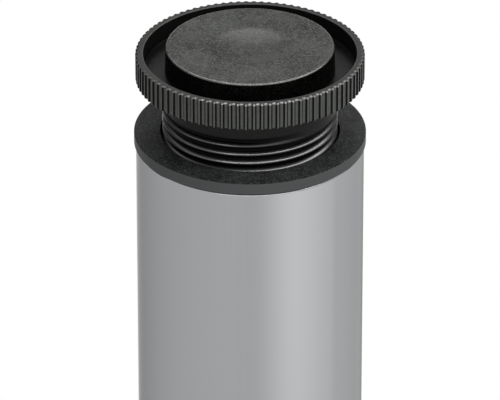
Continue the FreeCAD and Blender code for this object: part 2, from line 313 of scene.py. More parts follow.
class Graph:
    """A material's or world's node tree."""

    def __init__(self, owner: bpy.types.Material | bpy.types.World) -> None:
        """Empties the owner's tree.

        Args:
            owner: Material or world to fill.
        """
        owner.use_nodes = True
        self.tree = owner.node_tree
        self.tree.nodes.clear()

    def node(
        self,
        kind: str,
        settings: dict[str, object] | None = None,
        inputs: dict[int | str, object] | None = None,
        output: int | str = 0,
    ) -> Signal:
        """Adds a node, its settings first and then its inputs.

        Args:
            kind: Type of the node.
            settings: Properties of the node.
            inputs: Values or signals by socket name or number.
            output: Socket to hand on.

        Returns:
            The chosen output.
        """
        made = self.tree.nodes.new(kind)
        for key, value in (settings or {}).items():
            setattr(made, key, value)
        for key, value in (inputs or {}).items():
            if isinstance(value, Signal):
                self.tree.links.new(value.socket, made.inputs[key])
            else:
                made.inputs[key].default_value = value
        return Signal(self, made.outputs[output] if made.outputs else None)

    def place(self) -> Signal:
        """Object coordinates in metres."""
        return self.node("ShaderNodeTexCoord", output="Object")

    def share(self, name: str) -> Signal:
        """A surface's own attribute, its tone or its gloss."""
        return self.node("ShaderNodeAttribute", {"attribute_name": name}, {}, "Fac")

    def scaled(self, place: Signal, scale: Triple) -> Signal:
        """Coordinates with each axis scaled."""
        return self.node("ShaderNodeVectorMath", {"operation": "MULTIPLY"}, {0: place, 1: scale})

    def noise(self, place: Signal, scale: float, detail: float = 2.0) -> Signal:
        """Fractal noise about 0.5, with scale features in each unit."""
        return self.node("ShaderNodeTexNoise", {}, {"Vector": place, "Scale": scale, "Detail": detail})

    def tint(self, colour: Triple, level: Signal) -> Signal:
        """A linear colour times a level."""
        return self.node("ShaderNodeVectorMath", {"operation": "SCALE"}, {0: colour, "Scale": level})

    def blend(self, factor: Signal, first: Signal, second: Signal) -> Signal:
        """Mixes two shaders; a factor of 0 gives the first."""
        return self.node("ShaderNodeMixShader", {}, {0: factor, 1: first, 2: second})

    def bump(self, height: Signal, depth_mm: float) -> Signal:
        """Normal of a relief from 0 to 1 that is so many millimetres deep."""
        values = {"Strength": 1.0, "Distance": depth_mm * MM, "Height": height}
        return self.node("ShaderNodeBump", {}, values)

    def seen(self) -> Signal:
        """One for camera, glossy and transmission rays, else zero.

        Returns:
            The switch.
        """
        rays = ("Is Camera Ray", "Is Glossy Ray", "Is Transmission Ray")
        camera, glossy, clear = (self.node("ShaderNodeLightPath", output=ray) for ray in rays)
        return (camera + glossy + clear).at_most(1.0)

    def surface(self, shader: Signal, kind: str = "ShaderNodeOutputMaterial") -> None:
        """Sends a shader to the output node."""
        self.node(kind, {}, {"Surface": shader})

    def principled(self, values: dict[int | str, object]) -> None:
        """Sends a Principled shader with these inputs to the output node."""
        self.surface(self.node("ShaderNodeBsdfPrincipled", {}, values))


@dataclass(frozen=True)
class SatinMetal:
    """Drawn metal with faint streaks along Z.

    Attributes:
        name: Name of the material.
        colour: Linear colour of the reflection.
        roughness: Mean roughness.
        streak: Strength of the streaks.
        edge: Reflection at a grazing angle.
        lines: Streaks in each metre, along each axis.
        clouds: Clouds in each metre.
        cloud_share: Strength of the clouds against the streaks.
        dust: Grains of dust in each metre.
        dust_span: Noise over which a grain fades in.
        dust_share: Strength of the dust against the streaks.
        line_rough: How much the streaks change the roughness.
        cloud_rough: How much the clouds change the roughness.
        scratches: Fine scratches in each metre, along each axis.
        scratch_mm: Depth of the scratches.
    """

    name: str
    colour: Triple
    roughness: float
    streak: float
    edge: float = 0.62
    lines: Triple = (900.0, 900.0, 9.0)
    clouds: float = 60.0
    cloud_share: float = 0.5
    dust: float = 2600.0
    dust_span: Span = (0.66, 0.78)
    dust_share: float = 0.3
    line_rough: float = 0.08
    cloud_rough: float = 0.05
    scratches: Triple = (3000.0, 3000.0, 60.0)
    scratch_mm: float = 0.0006

    def material(self) -> bpy.types.Material:
        """Builds the finish.

        Returns:
            The material.
        """
        made = bpy.data.materials.new(self.name)
        graph = Graph(made)
        place = graph.place()
        drawn = graph.noise(graph.scaled(place, self.lines), 1.0, detail=3.0) - 0.5
        cloud = graph.noise(place, self.clouds) - 0.5
        dust = graph.noise(place, self.dust).between(*self.dust_span)
        level = 1.0 + drawn * self.streak + cloud * (self.cloud_share * self.streak)
        level = level - dust * (self.dust_share * self.streak)
        relief = graph.noise(graph.scaled(place, self.scratches), 1.0)
        values = {
            "Base Color": graph.tint(self.colour, level),
            "Metallic": 1.0,
            "Specular Tint": (self.edge, self.edge, self.edge, 1.0),
            "Roughness": self.roughness + drawn * self.line_rough + cloud * self.cloud_rough,
            "Normal": graph.bump(relief, self.scratch_mm),
        }
        graph.principled(values)
        return made


@dataclass(frozen=True)
class MouldedPlastic:
    """Black moulded plastic with a fine eroded grain and pale specks, scaled by painted shade and light.

    Attributes:
        name: Name of the material.
        colour: Linear base colour.
        roughness: Mean roughness.
        specular: Specular level of the grain.
        polish: Roughness of the coat on the edges where the gloss attribute places painted highlights.
        grain_mm: Size of the grain.
        depth_mm: Depth of the grain.
        mottle: How much the grain changes the base.
        speck: How much the specks lighten the base.
        coat_ior: Index of refraction of the gloss.
        fine: Fine grains across a grain.
        fine_relief: Share of the fine grain in the relief.
        patches: Patches across a grain.
        patch_share: Strength of the patches against the grain.
        clouds: Clouds in each metre.
        cloud_share: Strength of the clouds against the grain.
        speck_fine: Fine grain over which a speck fades in.
        speck_grain: Grain over which a speck fades in.
        grain_floor: Grain up to which the base stays dark.
        dark: Level of the dark base.
        least: Least level of the base.
        plain_level: Level of the base where the painted light is so strong that the grain is left out.
        plain_span: Painted light over which the grain is left out.
        cloud_rough: How much the clouds change the roughness.
        grain_rough: How much the grain changes the roughness.
    """

    name: str
    colour: Triple
    roughness: float
    specular: float
    polish: float
    grain_mm: float
    depth_mm: float
    mottle: float
    speck: float
    coat_ior: float = 1.8
    fine: float = 3.1
    fine_relief: float = 0.3
    patches: float = 0.4
    patch_share: float = 0.2
    clouds: float = 140.0
    cloud_share: float = 0.25
    speck_fine: Span = (0.60, 0.74)
    speck_grain: Span = (0.42, 0.62)
    grain_floor: float = 0.46
    dark: float = 0.8
    least: float = 0.15
    plain_level: float = 1.2
    plain_span: Span = (1.2, 1.8)
    cloud_rough: float = 0.14
    grain_rough: float = 0.1

    def material(self) -> bpy.types.Material:
        """Builds the finish.

        Returns:
            The material.
        """
        made = bpy.data.materials.new(self.name)
        graph = Graph(made)
        place = graph.place()
        grains = 1.0 / (self.grain_mm * MM)
        grain = graph.noise(place, grains, detail=3.0)
        fine = graph.noise(place, self.fine * grains, detail=1.0)
        patch = graph.noise(place, self.patches * grains) - 0.5
        cloud = graph.noise(place, self.clouds, detail=3.0) - 0.5
        speck = fine.between(*self.speck_fine) * grain.between(*self.speck_grain)
        # The tone attribute is painted shade and light: it darkens grooves and recesses and lightens the
        # flange's side, where the base turns plain. The gloss attribute places the coat for painted
        # highlights.
        painted_shading = graph.share("painted_shading")
        light = (grain - self.grain_floor).at_least(0.0)
        light = light + patch * self.patch_share + cloud * self.cloud_share
        level = self.dark + light * self.mottle + speck * self.speck
        level = level + (self.plain_level - level) * painted_shading.between(*self.plain_span)
        level = painted_shading * level.at_least(self.least)
        relief = grain * (1.0 - self.fine_relief) + fine * self.fine_relief
        values = {
            "Base Color": graph.tint(self.colour, level),
            "Roughness": self.roughness + cloud * self.cloud_rough + (grain - 0.5) * self.grain_rough,
            "Specular IOR Level": self.specular,
            "Coat Weight": graph.share("gloss"),
            "Coat Roughness": self.polish,
            "Coat IOR": self.coat_ior,
            "Normal": graph.bump(relief, self.depth_mm),
        }
        graph.principled(values)
        return made


@dataclass(frozen=True)
class CastLacquer:
    """Silver lacquer over a casting.

    Attributes:
        name: Name of the material.
        colour: Linear base colour.
        roughness: Mean roughness.
        metallic: Share of metal in the lacquer.
        coat: Weight of the clear coat.
        coat_rough: Roughness of the clear coat.
        peel: Bumps of the lacquer in each metre.
        peel_rough: How much they change the roughness.
        peel_mm: Their depth.
        flakes: Metal flakes in each metre.
        flake_span: Noise over which a flake fades in.
        flake_share: How much a flake lightens the base.
        clouds: Clouds in each metre.
        cloud_share: How much the clouds change the base.
        dark: Level of the base between the flakes.
    """

    name: str
    colour: Triple
    roughness: float
    metallic: float = 0.3
    coat: float = 0.25
    coat_rough: float = 0.2
    peel: float = 700.0
    peel_rough: float = 0.2
    peel_mm: float = 0.02
    flakes: float = 5200.0
    flake_span: Span = (0.56, 0.72)
    flake_share: float = 0.2
    clouds: float = 50.0
    cloud_share: float = 0.16
    dark: float = 0.94

    def material(self) -> bpy.types.Material:
        """Builds the finish.

        Returns:
            The material.
        """
        made = bpy.data.materials.new(self.name)
        graph = Graph(made)
        place = graph.place()
        peel = graph.noise(place, self.peel, detail=3.0)
        flake = graph.noise(place, self.flakes, detail=1.0).between(*self.flake_span)
        cloud = graph.noise(place, self.clouds) - 0.5
        level = self.dark + flake * self.flake_share + cloud * self.cloud_share
        values = {
            "Base Color": graph.tint(self.colour, level),
            "Metallic": self.metallic,
            "Roughness": self.roughness + (peel - 0.5) * self.peel_rough,
            "Coat Weight": self.coat,
            "Coat Roughness": self.coat_rough,
            "Normal": graph.bump(peel, self.peel_mm),
        }
        graph.principled(values)
        return made


@dataclass
class Piece:
    """A piece of the visual model.

    Attributes:
        name: Name of its object.
        node: CAD node that it stands for.
        body: CAD body that it rides on.
        slot: Material slot; not used.
        sharp_deg: Edges bent by more than this stay sharp.
    """

    name: str
    node: Node
    body: Body
    slot: Slot
    sharp_deg: float = 32.0

    def box(self) -> tuple[np.ndarray, np.ndarray]:
        """The node's lowest and highest corners in millimetres."""
        low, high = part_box(self.node.value)
        return np.array(low) / MM, np.array(high) / MM

    def surface(self) -> Surface:
        """The surface of the piece, which each kind of piece builds its own way."""
        raise NotImplementedError

    def make(self, material: bpy.types.Material) -> bpy.types.Object:
        """Builds, dresses and mounts the piece.

        Args:
            material: Finish of the piece.

        Returns:
            The object.
        """
        made = self.surface().to_object(self.sharp_deg)
        made.data.materials.append(material)
        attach(made, self.body.value)
        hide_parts(self.node.value)
        LOG.info("%s: %d faces on %s", self.name, len(made.data.polygons), self.body.value)
        return made


@dataclass
class LegTube(Piece):
    """Round tube with rounded ends and a key hole near the plate.

    Attributes:
        wall: Wall of the tube.
        edge: Chamfer of its outer edges.
        edge_round: Rounding between the chamfer and the wall.
        end_round: Rounding between the chamfer and the end.
        bore_round: Rounding of the inner edges.
        key_radius: Radius of the key hole.
        key_height: Height of the key hole.
        patch_half: Half height of the patch around the hole, which has a row at each millimetre.
        patch_columns: Columns on each side of the hole that its patch covers.
        spokes: Points along a spoke of the patch.
        crowding: How much the points crowd towards the hole.
        columns: Columns around the tube.
        rows: Rows along the tube beyond the patch.
        first_gap: Distance from the patch to the first of those rows.
        last_gap: Distance from the last of them to the tube's end.
    """

    wall: float = 1.5
    edge: float = 0.65
    edge_round: float = 0.7
    end_round: float = 0.12
    bore_round: float = 0.15
    key_radius: float = 2.5
    key_height: float = 20.0
    patch_half: float = 8.0
    patch_columns: int = 8
    spokes: int = 7
    crowding: float = 1.4
    columns: int = 256
    rows: int = 28
    first_gap: float = 6.0
    last_gap: float = 4.0

    def surface(self) -> Surface:
        """Turns the wall's outline about Z and patches the key hole into both faces.

        Returns:
            The surface.
        """
        low, high = self.box()
        bottom, top = low[2], high[2]
        outer = float(high[1])
        inner = outer - self.wall
        near = np.arange(-self.patch_half, self.patch_half + 1.0) + self.key_height
        beyond = np.linspace(near[-1] + self.first_gap, top - self.last_gap, self.rows)
        rows = np.concatenate([near, beyond])
        outline = [
            (outer - self.edge, bottom, self.end_round),
            (outer, bottom + self.edge, self.edge_round),
            *[(outer, row, 0.0) for row in rows],
            (outer, top - self.edge, self.edge_round),
            (outer - self.edge, top, self.end_round),
            (inner, top, self.bore_round),
            *[(inner, row, 0.0) for row in rows[::-1]],
            (inner, bottom, self.bore_round),
        ]
        profile = rounded(outline)
        angles = full_turn(self.columns)
        middle = self.columns // 4
        side = np.arange(middle - self.patch_columns, middle + self.patch_columns + 1)
        close = np.abs(profile[:, 1] - self.key_height) < self.patch_half + TINY
        wall_rows = close & np.roll(close, -1)
        in_patch = (np.arange(self.columns) >= side[0]) & (np.arange(self.columns) < side[-1])
        keep = ~(wall_rows[:, None] & in_patch[None, :])
        made = Surface(self.name)
        made.grid(turned(profile, angles), loop_rows=True, loop_columns=True, keep=keep)
        outside = self.patch(outer, angles[side], near)
        inside = self.patch(inner, angles[side], near)
        made.grid(outside, loop_columns=True, flip=True)
        made.grid(inside, loop_columns=True)
        return made.grid(np.stack([inside[0], outside[0]]), loop_columns=True, flip=True)

    def patch(self, radius: float, angles: np.ndarray, heights: np.ndarray) -> np.ndarray:
        """Wall around the key hole: straight spokes from the rim to the patch's border, bent to the wall.

        Args:
            radius: Radius of the wall's face.
            angles: Angles of the patch's columns.
            heights: Heights of the patch's rows.

        Returns:
            Grid from the rim out to the border.
        """
        x = radius * np.cos(angles)
        floor = np.stack([x, np.full_like(x, heights[0])], axis=-1)
        roof = np.stack([x, np.full_like(x, heights[-1])], axis=-1)
        left = np.stack([np.full_like(heights, x[-1]), heights], axis=-1)
        right = np.stack([np.full_like(heights, x[0]), heights], axis=-1)
        border = np.vstack([floor[:-1], left[:-1], roof[:0:-1], right[:0:-1]])
        offset = border - (0.0, self.key_height)
        rim = self.key_radius * offset / np.linalg.norm(offset, axis=1, keepdims=True)
        rim = rim + (0.0, self.key_height)
        step = (np.linspace(0.0, 1.0, self.spokes) ** self.crowding)[:, None, None]
        flat = (1.0 - step) * rim + step * border
        depth = np.sqrt(radius**2 - flat[..., 0] ** 2)
        return np.stack([flat[..., 0], depth, flat[..., 1]], axis=-1)


@dataclass
class TubeInsert(Piece):
    """Bush in the tube's end: a flange, a ribbed sleeve and an inside thread.

    Attributes:
        flange: Thickness of the flange.
        edge: Rounding of the flange's outer edge.
        under_round: Rounding under the flange.
        lip: Rounding of the bore's edge.
        bore: Radius of the bore.
        sleeve: Outer radius of the sleeve.
        sleeve_round: Rounding of the sleeve's end.
        columns: Columns around the bush.
        painted_side_shading: Painted light on the flange's side, against its face.
        hidden_painted_shade: Painted shade on the bore and the sleeve.
        side_margin: Distance from the flange's corner over which a point counts as its side.
        face_margin: Distance from the bore and from the underside beyond which a point counts as the face.
        rib_reach: Outer radius of the ribs.
        rib_width: Width of a rib.
        rib_hold: Depth of a rib inside the sleeve.
        rib_start: Height of a rib's inner end over the sleeve's end.
        rib_lead: Height at which a rib reaches its full depth.
        rib_round: Rounding there.
        ribs: Number of ribs.
        ridge_reach: Inner radius of the thread.
        ridge_foot: Half width of the thread's ridge at the bore.
        ridge_crest: Half width of the ridge at its crest.
        ridge_hold: Depth of the ridge inside the sleeve.
        ridge_start: Height of the ridge's start over the sleeve's end.
        ridge_short: Turns by which the ridge falls short of its space.
        ridge_ease: Turns over which it rises and falls at its ends.
        ridge_columns: Columns in each turn.
        pitch: Pitch of the thread.
        phase_deg: Angle at which the ridge starts.
        thread_drop: Plain depth under the flange's face.
    """

    flange: float = 3.2
    edge: float = 0.35
    under_round: float = 0.12
    lip: float = 0.06
    bore: float = 23.6
    sleeve: float = 25.8
    sleeve_round: float = 0.3
    columns: int = 256
    painted_side_shading: float = 3.0
    hidden_painted_shade: float = 0.15
    side_margin: float = 0.2
    face_margin: float = 0.1
    rib_reach: float = 28.45
    rib_width: float = 1.8
    rib_hold: float = 0.4
    rib_start: float = 0.2
    rib_lead: float = 1.5
    rib_round: float = 0.4
    ribs: int = 12
    ridge_reach: float = 22.3
    ridge_foot: float = 0.62
    ridge_crest: float = 0.22
    ridge_hold: float = 0.6
    ridge_start: float = 0.9
    ridge_short: float = 0.6
    ridge_ease: float = 0.12
    ridge_columns: int = 72
    pitch: float = 2.5
    phase_deg: float = 79.2
    thread_drop: float = 7.0

    def surface(self) -> Surface:
        """Turns the bush about Z, then adds the ribs and the thread.

        Returns:
            The surface.
        """
        low, high = self.box()
        bottom, top, outer = low[2], high[2], high[0]
        under = top - self.flange
        outline = [
            (self.bore, bottom, 0.0),
            (self.sleeve, bottom, self.sleeve_round),
            (self.sleeve, under, 0.0),
            (outer, under, self.under_round),
            (outer, top, self.edge),
            (self.bore, top, self.lip),
        ]
        profile = rounded(outline)
        radius, height = profile[:, :1], profile[:, 1:]
        side = (radius > outer - self.side_margin) & (height < top - self.side_margin)
        face = (height > under + self.face_margin) & (radius > self.bore + self.face_margin)
        # Painted light makes the flange's side paler than its face; painted shade darkens the bore and the
        # sleeve.
        painted_shading = np.where(side, self.painted_side_shading, np.where(face, 1.0, self.hidden_painted_shade))
        made = Surface(self.name)
        grid = turned(profile, full_turn(self.columns))
        made.grid(grid, loop_rows=True, loop_columns=True, painted_shading=painted_shading, gloss=0.0)
        self.add_ribs(made, bottom, under)
        self.add_thread(made, bottom, top - self.thread_drop)
        return made

    def add_ribs(self, made: Surface, low: float, high: float) -> None:
        """Adds the ribs: flat plates with a tapered end, turned to their places around the sleeve.

        Args:
            made: Surface to add to.
            low: Height of the sleeve's end.
            high: Height of the flange's underside.
        """
        inside = self.sleeve - self.rib_hold
        outline = [
            (inside, low + self.rib_start, 0.0),
            (self.rib_reach, low + self.rib_lead, self.rib_round),
            (self.rib_reach, high, 0.0),
            (inside, high, 0.0),
        ]
        plate = turned(rounded(outline, steps=3), np.zeros(1))[:, 0]
        half = (0.0, 0.5 * self.rib_width, 0.0)
        plate = np.stack([plate - half, plate + half], axis=1)
        for angle in full_turn(self.ribs):
            along, across = math.cos(angle), math.sin(angle)
            spin = np.array([(along, across, 0.0), (-across, along, 0.0), (0.0, 0.0, 1.0)])
            rib = plate @ spin
            made.grid(rib, loop_rows=True)
            made.fan(rib[:, 0], flip=True)
            made.fan(rib[:, 1], flip=False)

    def add_thread(self, made: Surface, low: float, high: float) -> None:
        """Adds the ridge: its section carried along a helix, z = z0 + pitch times the turns.

        Args:
            made: Surface to add to.
            low: Height of the sleeve's end.
            high: Height under which the ridge ends.
        """
        turns = (high - low) / self.pitch - self.ridge_short
        along = np.linspace(0.0, turns, int(turns * self.ridge_columns))
        grow = np.minimum(1.0, np.minimum(along, turns - along) / self.ridge_ease)
        crest = self.bore - (self.bore - self.ridge_reach) * grow
        foot = np.full_like(crest, self.bore)
        radius = np.stack([foot + self.ridge_hold, foot, crest, crest, foot, foot + self.ridge_hold])
        upper = np.array([self.ridge_foot, self.ridge_foot, self.ridge_crest])
        offset = np.concatenate([upper, -upper[::-1]])[:, None]
        height = low + self.ridge_start + self.pitch * along + offset
        grid = polar(radius, TURN * along + math.radians(self.phase_deg), height)
        made.grid(grid, loop_rows=True)
        made.fan(grid[:, 0], flip=True)
        made.fan(grid[:, -1], flip=False)


@dataclass
class KnurledWheel(Piece):
    """Wheel with scalloped flutes, a raised rim and a web with the clip's hole.

    Attributes:
        height: Height of the wheel.
        web: Thickness of the web.
        web_round: Rounding between the web and the rim.
        rim_wall: Width of the rim.
        rim_edge: Rounding of the rim's inner edge.
        edge: Chamfer along the scalloped top edge, and rounding below.
        edge_round: Rounding of the chamfer's own edges.
        clip_hole: Radius of the clip's hole.
        hole_round: Rounding of the hole's edges.
        flutes: Number of flutes.
        flute_depth: Depth of a flute.
        parts: Columns of a half flute, as parts of it from its middle on.
        calm_gap: Width that stays round inside the scallops' reach.
        row_gap: Distance of the outer rows from the top and the underside.
        ridge: Width of the ridge between two flutes.
        ridge_margin: Distance past a trough's edge over which a point counts as its wall.
        blend: Softness of the ridges.
        wall_start: Part of a trough's half width at which its steep wall starts.
        wall_width: Part over which the wall's shade grows.
        wall_painted_shade: How much painted shade darkens the troughs' steep walls.
        wall_gloss: Gloss of the ridges and of the troughs' floors; it fades out on the walls as painted
            shade in the reflections.
        margin: Distance from the rim's inner side over which a point counts as inside.
        inside_painted_shade: Painted shade inside the rim and below the wheel.
        top_painted_shade: Painted shade on the rim's flat top.
        brow_gloss: Gloss of the scalloped top edge, which gives it painted highlights.
    """

    height: float = 7.4
    web: float = 2.4
    web_round: float = 0.4
    rim_wall: float = 2.1
    rim_edge: float = 0.35
    edge: float = 0.36
    edge_round: float = 0.08
    clip_hole: float = 7.0
    hole_round: float = 0.2
    flutes: int = 90
    flute_depth: float = 0.5
    parts: tuple[float, ...] = (0.0, 0.14, 0.26, 0.36, 0.46, 0.56, 0.66, 0.73, 0.78, 0.86)
    calm_gap: float = 0.25
    row_gap: float = 0.8
    ridge: float = 0.55
    ridge_margin: float = 0.02
    blend: float = 0.06
    wall_start: float = 0.36
    wall_width: float = 0.26
    wall_painted_shade: float = 0.95
    wall_gloss: float = 0.025
    margin: float = 0.1
    inside_painted_shade: float = 0.08
    top_painted_shade: float = 0.3
    brow_gloss: float = 0.6

    def surface(self) -> Surface:
        """Turns the wheel about Z and draws its outer rows in by the depth of the scallops.

        Returns:
            The surface.
        """
        high = self.box()[1]
        outer, top = float(high[0]), float(high[2])
        under = top - self.height
        rim = outer - self.rim_wall
        calm = outer - self.flute_depth - self.edge - self.calm_gap
        outline = [
            (self.clip_hole, under, self.hole_round),
            (calm, under, 0.0),
            (outer, under, self.edge),
            *[(outer, row, 0.0) for row in np.linspace(under + self.row_gap, top - self.row_gap, 3)],
            (outer, top - self.edge, self.edge_round),
            (outer - self.edge, top, self.edge_round),
            (calm, top, 0.0),
            (rim, top, self.rim_edge),
            (rim, under + self.web, self.web_round),
            (self.clip_hole, under + self.web, self.hole_round),
        ]
        profile = rounded(outline, steps=4, support=0.03)
        radius, height = profile[:, :1], profile[:, 1:]
        angle, trough, wall = self.flute(outer)
        angles = (full_turn(self.flutes)[:, None] - QUARTER + angle).ravel()
        trough = np.tile(trough, self.flutes)
        wall = np.tile(wall, self.flutes)
        pull = (radius > calm + TINY).astype(float)
        grid = turned(profile, angles)
        grid[..., :2] *= (1.0 - pull * trough / radius)[..., None]
        inside = (radius < rim + self.margin) | (height < under + 0.5 * self.margin)
        level = height > top - FLAT
        brow = (height > top - self.edge - NEAR) & (radius > calm + NEAR) & ~level
        # Painted shade darkens the troughs' walls, the rim's flat top, the inside of the rim and the
        # wheel's underside; the gloss places painted highlights on the scalloped edge and no reflections in
        # the recesses.
        painted_shading = np.where(level, self.top_painted_shade, 1.0 - self.wall_painted_shade * wall * pull)
        gloss = np.where(brow, self.brow_gloss, self.wall_gloss * (1.0 - wall))
        painted_shading = np.where(inside, self.inside_painted_shade, painted_shading)
        gloss = np.where(inside, 0.0, gloss)
        return Surface(self.name).grid(grid, loop_rows=True, loop_columns=True, painted_shading=painted_shading, gloss=gloss)

    def flute(self, outer: float) -> tuple[np.ndarray, np.ndarray, np.ndarray]:
        """Columns of one flute, a round trough.

        At a distance x from its middle the trough is sqrt(rho^2 - x^2) less the height of its
        centre deep, and a parabola rounds the ridges.

        Args:
            outer: Radius of the wheel.

        Returns:
            The columns' angles from the flute's middle, their depths, and how far each lies on the
            trough's steep walls, from 0 to 1.
        """
        part = np.array(self.parts)
        part = np.concatenate([[-1.0], -part[:0:-1], part])
        angle = part * math.pi / self.flutes
        x = angle * outer
        chord = TURN * outer / self.flutes - self.ridge
        rho = (0.25 * chord**2 + self.flute_depth**2) / (2.0 * self.flute_depth)
        trough = np.sqrt(np.maximum(rho**2 - x**2, 0.0)) - (rho - self.flute_depth)
        wall = np.clip((np.abs(2.0 * x / chord) - self.wall_start) / self.wall_width, 0.0, 1.0)
        wall = np.where(np.abs(x) < 0.5 * chord + self.ridge_margin, wall, 0.0)
        return angle, soft_ramp(trough, self.blend), wall


@dataclass
class ThreadedShank(Piece):
    """Hollow shank with a coarse right-hand groove that runs out under the wheel's neck.

    Attributes:
        crest: Radius of the crests and of the neck.
        depth: Depth of the groove.
        bore: Radius of the bore.
        pitch: Pitch of the groove.
        root: Width of the groove's floor.
        land: Width of the crests.
        start_deg: Angle of the groove's centre half a pitch under the shank's end.
        turns: Turns of the groove up to its end.
        fade: Turns over which it runs out.
        blend: Rounding of the groove's floor.
        crown: Rounding of the crests.
        wheel_height: Height of the wheel above the neck.
        hold: Height of the shank inside the wheel's web.
        columns: Columns around the shank, both ends included.
        spare_laps: Laps of rows below the shank's end, which the climb of a turn brings up.
        floor_rows: Rows beside the groove's centre.
        flank_rows: Number of rows on the flank.
        flank_start: First row of the flank.
        flank_past: Distance of its last row past the crest's edge.
        bore_painted_shade: Painted shade in the bore.
        root_painted_shade: Painted shade on the groove's floor.
        land_painted_light: How much lighter the crests and the neck are than the floor; the painted shade
            deepens down into the groove.
        plain_gloss: Gloss away from the crests.
        brow_start: Distance under the groove's centre at which the gloss for the upper crest's painted
            highlight starts.
        brow_rise: Distance over which it grows.
        brow_fall: Distance over which it ends at the middle of the crest.
    """

    crest: float = 23.1
    depth: float = 1.1
    bore: float = 19.0
    pitch: float = 2.5
    root: float = 0.8
    land: float = 0.6
    start_deg: float = 129.6
    turns: float = 14.5
    fade: float = 0.14
    blend: float = 0.1
    crown: float = 0.42
    wheel_height: float = 7.4
    hold: float = 0.9
    columns: int = 181
    spare_laps: int = 2
    floor_rows: Span = (0.28, 0.4)
    flank_rows: int = 10
    flank_start: float = 0.52
    flank_past: float = 0.24
    bore_painted_shade: float = 0.1
    root_painted_shade: float = 0.02
    land_painted_light: float = 0.25
    plain_gloss: float = 0.01
    brow_start: float = 0.5
    brow_rise: float = 0.12
    brow_fall: float = 0.15

    def surface(self) -> Surface:
        """Grid whose rows follow the helix, so that crests and flanks are lines of the grid.

        A row is a distance u along the shank from the groove's centre, and
        z = z0 + pitch * turns + u, held between the two ends of the shank.

        Returns:
            The surface.
        """
        low, high = self.box()
        bottom = float(low[2])
        top = float(high[2]) - self.wheel_height + self.hold
        edge = 0.5 * (self.pitch - self.land)
        flank = np.linspace(self.flank_start, edge + self.flank_past, self.flank_rows)
        half = np.array([*self.floor_rows, *flank])
        once = np.concatenate([-half[::-1], [0.0], half, [0.5 * self.pitch]])
        laps = np.arange(-self.spare_laps, int((top - bottom) / self.pitch) + 2 * self.spare_laps)
        rows = (laps[:, None] * self.pitch + once).ravel()[:, None]
        angles = np.linspace(0.0, TURN, self.columns)
        around = angles - math.radians(self.start_deg)
        origin = bottom - 0.5 * self.pitch
        height = np.clip(origin + rows + self.pitch * around / TURN, bottom, top)
        radius, gloss = self.groove(height - origin, around)
        # Painted shade that deepens from the crests down to the groove's floor, and painted shade in the
        # bore.
        land = 1.0 - (self.crest - radius) / self.depth
        painted_shading = self.root_painted_shade + self.land_painted_light * land**3
        inside = turned(np.array([(self.bore, top), (self.bore, bottom)]), angles)
        grid = np.concatenate([inside, polar(radius, angles, height)])
        painted_shading = np.concatenate([np.full((2, self.columns), self.bore_painted_shade), painted_shading])
        gloss = np.concatenate([np.zeros((2, self.columns)), gloss])
        return Surface(self.name).grid(grid, loop_rows=True, painted_shading=painted_shading, gloss=gloss)

    def groove(self, rise: np.ndarray, angle: np.ndarray) -> tuple[np.ndarray, np.ndarray]:
        """Grooved surface: the crest less a trapezoid that fades out at the groove's end.

        Args:
            rise: Height above the groove's start.
            angle: Angle from the groove's start.

        Returns:
            The radius at each point, and the gloss, which lies on the crests' upper edges for painted
            highlights.
        """
        around = angle[None, :] / TURN
        lap = around + np.round(rise / self.pitch - around)
        below = self.pitch * lap - rise
        offset = np.abs(below) - 0.5 * self.root
        flank = 0.5 * (self.pitch - self.root - self.land)
        climb = soft_ramp(offset, self.blend) - soft_ramp(offset - flank, self.crown)
        fade = np.clip((self.turns - lap) / self.fade, 0.0, 1.0)
        brow = np.clip((below - self.brow_start) / self.brow_rise, 0.0, 1.0)
        brow = brow * np.clip((0.5 * self.pitch - below) / self.brow_fall, 0.0, 1.0)
        gloss = self.plain_gloss + (1.0 - self.plain_gloss) * brow * fade
        return self.crest - self.depth * fade * (1.0 - climb / flank), gloss


